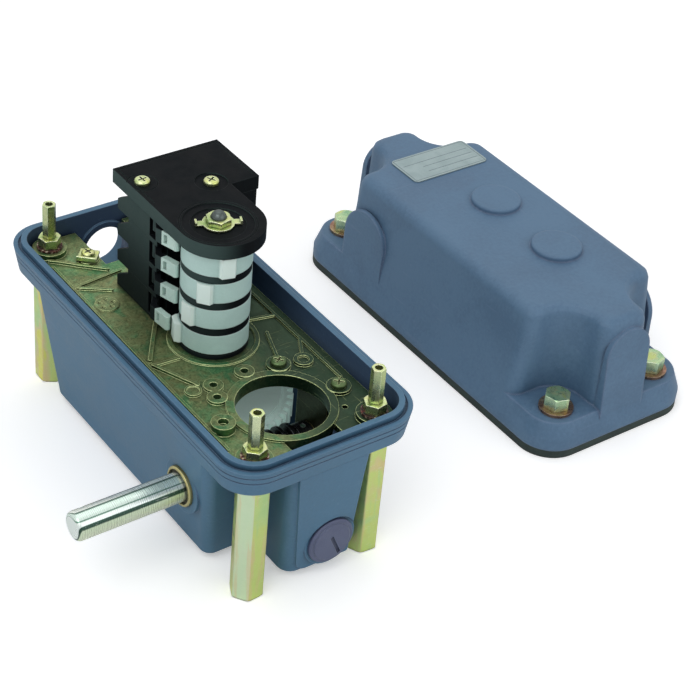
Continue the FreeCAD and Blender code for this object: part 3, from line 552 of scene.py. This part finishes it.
# Zinc on legs, nuts, posts and bolts
zinc = {
    "legZinc": {
        "main": (204, 220, 134), "second": (210, 210, 122), "third": (184, 216, 150), "edge": (228, 190, 168),
        "streak": (220, 200, 154), "pale": (208, 228, 198), "gold": (222, 222, 96), "scale": 34.0,
        "round": 0.0011, "rough": (0.30, 0.46), "facing": (0.9, 0.5, 0.0), "lip": 0.35, "stretch": 0.12,
        "island": 42.0, "shift": (0.013, 0.004, 0.03), "paleRest": 0.1,
    },
    "hardwareZinc": {
        "main": (184, 200, 138), "second": (204, 214, 158), "third": (126, 156, 92), "edge": (248, 252, 222),
        "streak": (196, 196, 144), "pale": (212, 224, 184), "gold": (200, 208, 126), "scale": 110.0,
        "round": 0.0004, "rough": (0.20, 0.34), "facing": (0.6, 0.8, 0.2), "lip": 0.95, "stretch": 0.2,
        "island": 150.0, "shift": (0.1, 0.2, 0.3), "paleRest": 0.35,
    },
    "boltZinc": {
        "main": (164, 198, 152), "second": (188, 210, 162), "third": (134, 176, 140), "edge": (240, 246, 226),
        "streak": (190, 198, 150), "pale": (204, 224, 190), "gold": (192, 204, 128), "scale": 90.0,
        "round": 0.0005, "rough": (0.24, 0.40), "facing": (0.7, 0.6, 0.3), "lip": 0.8, "stretch": 0.5,
        "island": 120.0, "shift": (0.2, 0.1, 0.3), "paleRest": 0.5,
    },
}
zincShared = {
    "metal": 0.9, "wearScale": 380.0, "shadeAndDirtReach": 0.0015, "grain": 1500.0, "toneScale": 240.0,
    "markScale": 70.0, "bandScale": 260.0, "islandStretch": 0.45, "shadeAndDirt": 0.75, "marks": 0.3,
    "depth": 0.00002, "deep": (48, 54, 34), "markColour": (230, 232, 214),
    "thirdBand": (0.44, 0.34, 0.5), "streakBand": (0.52, 0.64, 0.45),   # from, to and most
    "streakIsland": (0.50, 0.56, 0.75), "goldIsland": (0.56, 0.60, 0.85),
    # painted highlight: faces to the left are painted pale, most of all on the leg nearest the camera
    "left": (-0.83, -0.56, 0), "leftReach": (0.62, 0.95), "corner": (-0.07, -0.095), "paleMost": 0.85,
}


def zincMaterial(name):
    values = zincShared | zinc[name]
    material, tree, shader = startMaterial(name, Metallic=values["metal"])
    edgeLightAndWear = effect(tree, "edgeHighlightAndWear", Radius=values["round"], Scale=values["wearScale"])
    shadeAndDirt = effect(tree, "cornerShadeAndDirt", Distance=values["shadeAndDirtReach"])["Mask"]
    film = filmEffect(tree, values)
    skin = effect(tree, "castSkin", Grain_Scale=values["grain"], Tone_Scale=values["toneScale"])
    marks = effect(tree, "scratches", Scale=values["markScale"])["Mask"]
    tall = mapped(tree, objectPlace(tree), scale=(1, 1, values["stretch"]))
    band = noise(tree, tall, values["bandScale"], detail=3.0, rough=0.6, twist=0.5)
    moved = mapped(tree, objectPlace(tree), scale=(1, 1, values["islandStretch"]), shift=values["shift"])
    island = noise(tree, moved, values["island"], detail=3.0, rough=0.55, twist=0.5)
    colour = fade(tree, film["Color"], band, values["thirdBand"], values["third"])
    colour = fade(tree, colour, island, values["streakIsland"], values["streak"])
    colour = fade(tree, colour, island, values["goldIsland"], values["gold"])
    # painted highlight on faces to the left
    parts = objectParts(tree)
    diagonal = maths(tree, "ADD", parts["X"], parts["Y"])
    corner = between(tree, diagonal, *values["corner"], values["paleRest"], values["paleMost"])
    left = between(tree, normalPart(tree, values["left"]), *values["leftReach"])
    colour = coat(tree, colour, left, corner, values["pale"])
    colour = fade(tree, colour, band, values["streakBand"], values["streak"])
    # painted highlight: the whole edge is painted lighter
    colour = coat(tree, colour, edgeLightAndWear["Edge"], values["lip"], values["edge"])
    # painted shade and dirt: corners and recesses are painted darker
    colour = coat(tree, colour, shadeAndDirt, values["shadeAndDirt"], values["deep"])
    colour = coat(tree, colour, marks, values["marks"], values["markColour"])
    rough = between(tree, skin["Tone"], 0.0, 1.0, *values["rough"])
    dressShader(tree, shader, colour, rough, bumped(tree, skin["Height"], values["depth"], edgeLightAndWear["Normal"]))
    return material


# Bright, blackened and bronze parts that were turned
turned = {
    "shaftSteel": {
        "main": (240, 244, 240), "tint": (236, 240, 236), "deep": (90, 98, 92), "rough": (0.24, 0.32),
        "axis": "X", "density": 3000.0, "depth": 0.0000014, "glint": 16, "metal": 0.6,
    },
    "camShaftSteel": {
        "main": (92, 99, 97), "tint": (72, 80, 79), "deep": (36, 42, 40), "rough": (0.28, 0.46),
        "axis": "Z", "density": 2600.0, "depth": 0.00001, "glint": 24, "metal": 1.0,
    },
    "wormSteel": {
        "main": (38, 40, 44), "tint": (52, 54, 58), "deep": (14, 15, 18), "rough": (0.18, 0.34),
        "axis": "X", "density": 2400.0, "depth": 0.00001, "glint": 110, "metal": 0.85,
    },
    "bushBronze": {
        "main": (190, 184, 132), "tint": (166, 156, 108), "deep": (60, 52, 34), "rough": (0.32, 0.5),
        "axis": "X", "density": 2200.0, "depth": 0.00001, "glint": 24, "metal": 0.95,
    },
}
turnedShared = {
    "round": 0.0003, "wearScale": 500.0, "shadeAndDirtReach": 0.0015, "markScale": 80.0, "shadeAndDirt": 0.6, "lip": 0.45,
    "lift": 1.2, "tone": (0.3, 0.7),
}
# turns that bring the axis of a turned part along X
axisTurns = {"X": (0, 0, 0), "Z": (0, math.radians(90), 0)}
# the way down across the ground shaft as the camera sees it, and the painted reflection bands that run
# along the shaft, from its upper outline at 0 to its lower one at 1
reflectionBandsAcross = (0, -0.724, -0.690)
shaftReflectionBands = (
    (0.00, (70, 92, 86)), (0.04, (255, 255, 252)), (0.115, (252, 255, 250)), (0.135, (74, 100, 90)),
    (0.165, (96, 124, 112)), (0.19, (222, 238, 230)), (0.40, (232, 246, 240)), (0.425, (104, 142, 126)),
    (0.445, (110, 146, 132)), (0.47, (246, 252, 250)), (0.59, (232, 240, 240)), (0.61, (44, 72, 62)),
    (0.71, (48, 76, 64)), (0.74, (214, 228, 200)), (1.00, (232, 236, 214)),
)


def turnedMaterial(name):
    values = turnedShared | turned[name]
    material, tree, shader = startMaterial(name, Metallic=values["metal"])
    edgeLightAndWear = effect(tree, "edgeHighlightAndWear", Radius=values["round"], Scale=values["wearScale"])
    shadeAndDirt = effect(tree, "cornerShadeAndDirt", Distance=values["shadeAndDirtReach"])["Mask"]
    along = mapped(tree, objectPlace(tree), turn=axisTurns[values["axis"]])
    lines = effect(tree, "turnedLines", Vector=along, Density=values["density"])
    marks = effect(tree, "scratches", Scale=values["markScale"])["Mask"]
    colour = blend(tree, lines["Tone"], rgb(*values["main"]), rgb(*values["tint"]))
    if name == "shaftSteel":
        # painted reflection: light and dark bands along the shaft
        facing = maths(tree, "MULTIPLY_ADD", normalPart(tree, reflectionBandsAcross), 0.5, 0.5)
        colour = blend(tree, 1.0, colour, ramp(tree, facing, shaftReflectionBands), "MULTIPLY")
    # painted shade and dirt: corners and recesses are painted darker
    colour = coat(tree, colour, shadeAndDirt, values["shadeAndDirt"], values["deep"])
    # painted highlight on edges, as glints, and brighter scratch marks
    bright = (min(255, part * values["lift"] + values["glint"]) for part in values["main"])
    colour = coat(tree, colour, maths(tree, "MAXIMUM", edgeLightAndWear["Edge"], marks), values["lip"], bright)
    rough = between(tree, lines["Tone"], *values["tone"], *values["rough"])
    dressShader(tree, shader, colour, rough, bumped(tree, lines["Height"], values["depth"], edgeLightAndWear["Normal"]))
    return material


# Nylon, black mouldings, rubber and fibre
moulded = {
    "camNylon": {
        "main": (192, 222, 216), "cloud": (184, 215, 209), "deep": (84, 102, 100), "edge": (222, 232, 229),
        "lobeHighlight": (232, 250, 243), "rough": (0.34, 0.46), "depth": 0.00002, "round": 0.0004, "soft": 0.12,
        "gloss": 0.5,
    },
    "leverNylon": {
        "main": (196, 224, 214), "cloud": (184, 212, 203), "deep": (40, 52, 50), "edge": (224, 234, 228),
        "rough": (0.36, 0.5), "depth": 0.00002, "round": 0.0003, "soft": 0.1, "gloss": 0.5,
    },
    "wheelNylon": {
        "main": (212, 240, 232), "cloud": (200, 230, 222), "deep": (70, 88, 86), "edge": (244, 250, 248),
        "rough": (0.38, 0.5), "depth": 0.00003, "round": 0.0003, "soft": 0.1, "gloss": 0.5, "glow": 0.16,
    },
    "blackPlastic": {
        "main": (10, 13, 16), "cloud": (15, 19, 22), "deep": (6, 8, 9), "edge": (60, 70, 70),
        "side": (62, 79, 77), "rough": (0.5, 0.64), "depth": 0.00003, "round": 0.0004, "soft": 0.0,
        "gloss": 0.06, "dust": 0.004,
    },
    "plugPlastic": {
        "main": (78, 86, 116), "cloud": (86, 94, 122), "deep": (36, 40, 62), "edge": (132, 142, 168),
        "rough": (0.36, 0.48), "depth": 0.00004, "round": 0.0007, "soft": 0.0, "gloss": 0.5,
    },
    "gasketRubber": {
        "main": (38, 50, 48), "cloud": (54, 66, 62), "deep": (14, 18, 18), "edge": (88, 98, 92),
        "rough": (0.62, 0.8), "depth": 0.00012, "round": 0.0006, "soft": 0.0, "gloss": 0.35,
    },
    "sealRubber": {
        "main": (74, 76, 62), "cloud": (88, 88, 70), "deep": (26, 24, 18), "edge": (132, 134, 112),
        "rough": (0.5, 0.7), "depth": 0.00004, "round": 0.0004, "soft": 0.0, "gloss": 0.4,
    },
    "fibreWasher": {
        "main": (104, 26, 32), "cloud": (40, 22, 20), "deep": (16, 8, 8), "edge": (196, 150, 116),
        "toothGlint": (214, 200, 176), "rough": (0.5, 0.7), "depth": 0.00006, "round": 0.0003, "soft": 0.0,
        "gloss": 0.4,
    },
}
mouldedShared = {
    "wearScale": 400.0, "shadeAndDirtReach": 0.0015, "skinScale": 1300.0, "dustScale": 160.0, "shadeAndDirt": 0.6,
    "lip": 0.45, "dust": 0.04, "dustRough": 0.15, "dustColour": (150, 156, 156),
    "clouds": (0.38, 0.62), "tone": (0.35, 0.65), "softRadius": (1.0, 0.9, 0.8), "softScale": 0.0015,
}
# painted sheen: sides of the black blocks that face left are painted lighter the higher they are: direction,
# height and strength
blockSideSheen = {
    "left": (-0.94, -0.34, 0), "facing": (0.3, 1.0), "height": (0.072, 0.126), "strength": (0.15, 1.0),
}
# painted glints as pale spots, and dark spots, on the teeth of the lock washer that shows through the red:
# from, to and most
washerToothGlints = {"scale": 620.0, "pale": (0.56, 0.62, 1.0), "dark": (0.46, 0.40, 1.0), "gap": (22, 16, 14)}
# painted highlight on the lobes of the cams, found by their distance from the axis of the joint that turns
# them: from, to and most
camLobeHighlight = {"joint": "cam_turn", "reach": (0.0149, 0.0156, 0.9)}


def paintedSideSheen(tree, colour, over):
    left = between(tree, normalPart(tree, blockSideSheen["left"]), *blockSideSheen["facing"])
    high = between(tree, objectParts(tree)["Z"], *blockSideSheen["height"], *blockSideSheen["strength"])
    return coat(tree, colour, left, high, over)


def paintToothGlints(tree, colour, over):
    teeth = noise(tree, objectPlace(tree), washerToothGlints["scale"], rough=0.6, twist=0.4)
    colour = fade(tree, colour, teeth, washerToothGlints["pale"], over)
    return fade(tree, colour, teeth, washerToothGlints["dark"], washerToothGlints["gap"])


def paintLobeHighlight(tree, colour, over):
    axis = next(joint["pos_m"] for joint in frame["joints"] if joint["name"] == camLobeHighlight["joint"])
    fromAxis = vectorMaths(tree, "SUBTRACT", objectPlace(tree), axis)["Vector"]
    outward = vectorMaths(tree, "MULTIPLY", fromAxis, (1, 1, 0))["Vector"]
    distance = vectorMaths(tree, "LENGTH", outward)["Value"]
    return fade(tree, colour, distance, camLobeHighlight["reach"], over)


def mouldedMaterial(name):
    values = mouldedShared | moulded[name]
    material, tree, shader = startMaterial(name, Metallic=0.0, Specular_IOR_Level=values["gloss"])
    if values["soft"]:
        shader.inputs["Subsurface Weight"].default_value = values["soft"]
        shader.inputs["Subsurface Radius"].default_value = values["softRadius"]
        shader.inputs["Subsurface Scale"].default_value = values["softScale"]
    if "glow" in values:
        # painted light: the thick pale nylon glows faintly, though it is no lamp
        shader.inputs["Emission Color"].default_value = rgb(*values["main"])
        shader.inputs["Emission Strength"].default_value = values["glow"]
    edgeLightAndWear = effect(tree, "edgeHighlightAndWear", Radius=values["round"], Scale=values["wearScale"])
    shadeAndDirt = effect(tree, "cornerShadeAndDirt", Distance=values["shadeAndDirtReach"])["Mask"]
    skin = effect(tree, "mouldSkin", Scale=values["skinScale"])
    dust = effect(tree, "dustFilm", Scale=values["dustScale"])["Mask"]
    clouds = between(tree, skin["Tone"], *values["clouds"])
    colour = blend(tree, clouds, rgb(*values["main"]), rgb(*values["cloud"]))
    # painted sheen on block sides, painted glints on washer teeth, painted highlight on cam lobes
    for part, paint in (("side", paintedSideSheen), ("toothGlint", paintToothGlints), ("lobeHighlight", paintLobeHighlight)):
        if part in values:
            colour = paint(tree, colour, values[part])
    # painted shade and dirt: corners and recesses are painted darker
    colour = coat(tree, colour, shadeAndDirt, values["shadeAndDirt"], values["deep"])
    # painted highlight: the whole edge is painted lighter
    colour = coat(tree, colour, edgeLightAndWear["Edge"], values["lip"], values["edge"])
    colour = coat(tree, colour, dust, values["dust"], values["dustColour"])
    rough = between(tree, skin["Tone"], *values["tone"], *values["rough"])
    rough = maths(tree, "MULTIPLY_ADD", dust, values["dustRough"], rough)
    dressShader(tree, shader, colour, rough, bumped(tree, skin["Height"], values["depth"], edgeLightAndWear["Normal"]))
    return material


# Washers under the cover bolts, and the terminals' sheet metal
sheetMetal = {
    "copperWasher": {
        "main": (160, 126, 106), "second": (134, 100, 84), "third": (170, 148, 118), "edge": (222, 200, 178),
    },
    "terminalBrass": {
        "main": (190, 178, 122), "second": (206, 196, 150), "third": (166, 148, 96), "edge": (236, 226, 180),
    },
}
sheetMetalShared = {
    "metal": 0.95, "scale": 160.0, "facing": (0.4, 0.4, 0.4), "round": 0.0002, "wearScale": 500.0,
    "markScale": 90.0, "grain": 1800.0, "toneScale": 300.0, "lip": 0.5, "depth": 0.00002,
    "rough": (0.26, 0.44),
}


def sheetMetalMaterial(name):
    values = sheetMetalShared | sheetMetal[name]
    material, tree, shader = startMaterial(name, Metallic=values["metal"])
    edgeLightAndWear = effect(tree, "edgeHighlightAndWear", Radius=values["round"], Scale=values["wearScale"])
    film = filmEffect(tree, values)
    marks = effect(tree, "scratches", Scale=values["markScale"])["Mask"]
    skin = effect(tree, "castSkin", Grain_Scale=values["grain"], Tone_Scale=values["toneScale"])
    # painted highlight on the whole edge, and scratch marks
    edgeHighlightAndScratches = maths(tree, "MAXIMUM", edgeLightAndWear["Edge"], marks)
    colour = coat(tree, film["Color"], edgeHighlightAndScratches, values["lip"], values["edge"])
    rough = between(tree, skin["Tone"], 0.0, 1.0, *values["rough"])
    dressShader(tree, shader, colour, rough, bumped(tree, skin["Height"], values["depth"], edgeLightAndWear["Normal"]))
    return material


# Bare metal label on the cover, with a border and ruled lines
label = {
    "main": (150, 167, 169), "cloud": (138, 156, 158), "line": (64, 76, 84), "brush": (186, 200, 198),
    "edge": (206, 216, 214), "metal": 0.7, "rough": (0.34, 0.5), "tone": (0.3, 0.7), "depth": 0.00001,
    "round": 0.0003, "wearScale": 500.0, "grain": 1600.0, "toneScale": 120.0, "markScale": 18.0,
    "brushScale": 60.0, "brushStretch": (1, 40, 1), "brushed": 0.15, "marks": 0.3, "lip": 0.4, "print": 0.8,
    "border": (0.0009, 0.0012),         # of the border line, from the label's outline
}
# ruled lines on the label: x from, x to, y from, y to, measured in metres from its centre
labelLines = (
    (-0.0105, 0.0195, -0.0052, -0.0049),
    (-0.0105, 0.0195, -0.0008, -0.0005),
    (-0.0195, 0.0195, 0.0034, 0.0037),
)


def within(tree, value, low, high):
    above = maths(tree, "GREATER_THAN", value, low)
    return maths(tree, "MULTIPLY", above, maths(tree, "LESS_THAN", value, high))


def boxOf(node):
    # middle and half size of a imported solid
    places = [vertex.co for vertex in frame["nodes"][node].data.vertices]
    low = Vector([min(place[axis] for place in places) for axis in range(3)])
    high = Vector([max(place[axis] for place in places) for axis in range(3)])
    return (low + high) / 2, (high - low) / 2


def labelMarks(tree):
    middle, half = boxOf("nameplate")
    fromMiddle = vectorMaths(tree, "SUBTRACT", objectPlace(tree), middle)["Vector"]
    parts = add(tree, "SeparateXYZ", None, {0: fromMiddle}).outputs
    insets = []
    for side, reach in zip("XY", half):
        insets.append(maths(tree, "SUBTRACT", reach, maths(tree, "ABSOLUTE", parts[side])))
    mask = within(tree, maths(tree, "MINIMUM", *insets), *label["border"])
    for fromX, toX, fromY, toY in labelLines:
        line = within(tree, parts["X"], fromX, toX)
        line = maths(tree, "MULTIPLY", line, within(tree, parts["Y"], fromY, toY))
        mask = maths(tree, "MAXIMUM", mask, line)
    return mask


def labelMaterial():
    material, tree, shader = startMaterial("labelMetal", Metallic=label["metal"])
    edgeLightAndWear = effect(tree, "edgeHighlightAndWear", Radius=label["round"], Scale=label["wearScale"])
    skin = effect(tree, "castSkin", Grain_Scale=label["grain"], Tone_Scale=label["toneScale"])
    along = mapped(tree, objectPlace(tree), scale=label["brushStretch"])
    brushed = noise(tree, along, label["brushScale"], detail=3.0)
    marks = effect(tree, "scratches", Scale=label["markScale"])["Mask"]
    marks = maths(tree, "MULTIPLY", marks, label["marks"])
    colour = blend(tree, skin["Tone"], rgb(*label["main"]), rgb(*label["cloud"]))
    colour = coat(tree, colour, brushed, label["brushed"], label["brush"])
    # painted highlight on the whole edge, and scratch marks
    colour = coat(tree, colour, maths(tree, "MAXIMUM", edgeLightAndWear["Edge"], marks), label["lip"], label["edge"])
    colour = coat(tree, colour, labelMarks(tree), label["print"], label["line"])
    rough = between(tree, brushed, *label["tone"], *label["rough"])
    dressShader(tree, shader, colour, rough, bumped(tree, brushed, label["depth"], edgeLightAndWear["Normal"]))
    return material


finishMakers = (
    (enamel, enamelMaterial), (chromate, chromateMaterial), (zinc, zincMaterial), (turned, turnedMaterial),
    (moulded, mouldedMaterial), (sheetMetal, sheetMetalMaterial),
)
materials = {}
for finishes, maker in finishMakers:
    for name in finishes:
        materials[name] = maker(name)
materials["labelMetal"] = labelMaterial()
print("materials made:", len(materials))

finishOfSlot = {
    "housing_paint": "housingPaint", "cover_paint": "coverPaint", "gasket_rubber": "gasketRubber",
    "seal_rubber": "sealRubber", "plate_chromate": "plateChromate", "bracket_chromate": "bracketChromateShaded",
    "leg_zinc": "legZinc", "hardware_zinc": "hardwareZinc", "bolt_zinc": "boltZinc",
    "fibre_washer": "fibreWasher", "copper_washer": "copperWasher", "shaft_steel": "shaftSteel",
    "worm_steel": "wormSteel", "bush_bronze": "bushBronze", "wheel_nylon": "wheelNylon",
    "cam_nylon": "camNylon", "lever_nylon": "leverNylon", "black_plastic": "blackPlastic",
    "plug_plastic": "plugPlastic", "terminal_brass": "terminalBrass", "label_metal": "labelMetal",
}
ownFinish = {
    "cam_shaft": "camShaftSteel", "lever_pins": "camShaftSteel", "wheel_pin": "camShaftSteel",
    "bracket_screws": "screwChromate",
}
slotOfNode = {part["node"]: part["material_slot"] for part in frame["record"]["subparts"]}


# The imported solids, merged and shaded smooth between sharp edges
meshing = {"double": 0.000002, "flatDegrees": 0.3, "creaseDegrees": 30.0}


def dressNode(node):
    shape = bmesh.new()
    shape.from_mesh(frame["nodes"][node].data)
    bmesh.ops.remove_doubles(shape, verts=shape.verts, dist=meshing["double"])
    flat = math.radians(meshing["flatDegrees"])
    bmesh.ops.dissolve_limit(shape, angle_limit=flat, verts=shape.verts, edges=shape.edges)
    crease = math.radians(meshing["creaseDegrees"])
    for edge in shape.edges:
        edge.smooth = len(edge.link_faces) == 2 and edge.calc_face_angle(0.0) < crease
    for face in shape.faces:
        face.smooth = True
    mesh = bpy.data.meshes.new(node + "_finished")
    shape.to_mesh(mesh)
    shape.free()
    piece = bpy.data.objects.new(node + "_finished", mesh)
    scene.collection.objects.link(piece)
    even = piece.modifiers.new("even", "WEIGHTED_NORMAL")
    even.keep_sharp = True
    mesh.materials.append(materials[ownFinish.get(node, finishOfSlot[slotOfNode[node]])])
    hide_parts(node)
    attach(piece, frame["nodes"][node]["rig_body"])


for node in sorted(frame["nodes"]):
    dressNode(node)
print("nodes dressed:", len(frame["nodes"]))


# White floor just under the part, which keeps the shadow
floorValues = {
    "half": 3.0, "drop": 0.0002, "colour": (248, 249, 250), "lift": 0.34, "rough": 0.85, "gloss": 0.1,
}


def makeFloor():
    shape = bmesh.new()
    bmesh.ops.create_grid(shape, x_segments=1, y_segments=1, size=floorValues["half"])
    mesh = bpy.data.meshes.new("floor")
    shape.to_mesh(mesh)
    shape.free()
    mesh.transform(Matrix.Translation((0, 0, -floorValues["drop"])))
    finish = {"Roughness": floorValues["rough"], "Specular_IOR_Level": floorValues["gloss"]}
    material, tree, shader = startMaterial("floorPaper", **finish)
    shader.inputs["Base Color"].default_value = rgb(*floorValues["colour"])
    shader.inputs["Emission Color"].default_value = (1, 1, 1, 1)
    seen = add(tree, "LightPath").outputs["Is Camera Ray"]
    feed(tree, shader.inputs["Emission Strength"], maths(tree, "MULTIPLY", seen, floorValues["lift"]))
    mesh.materials.append(material)
    floor = bpy.data.objects.new("floor", mesh)
    scene.collection.objects.link(floor)


makeFloor()
print("floor made")
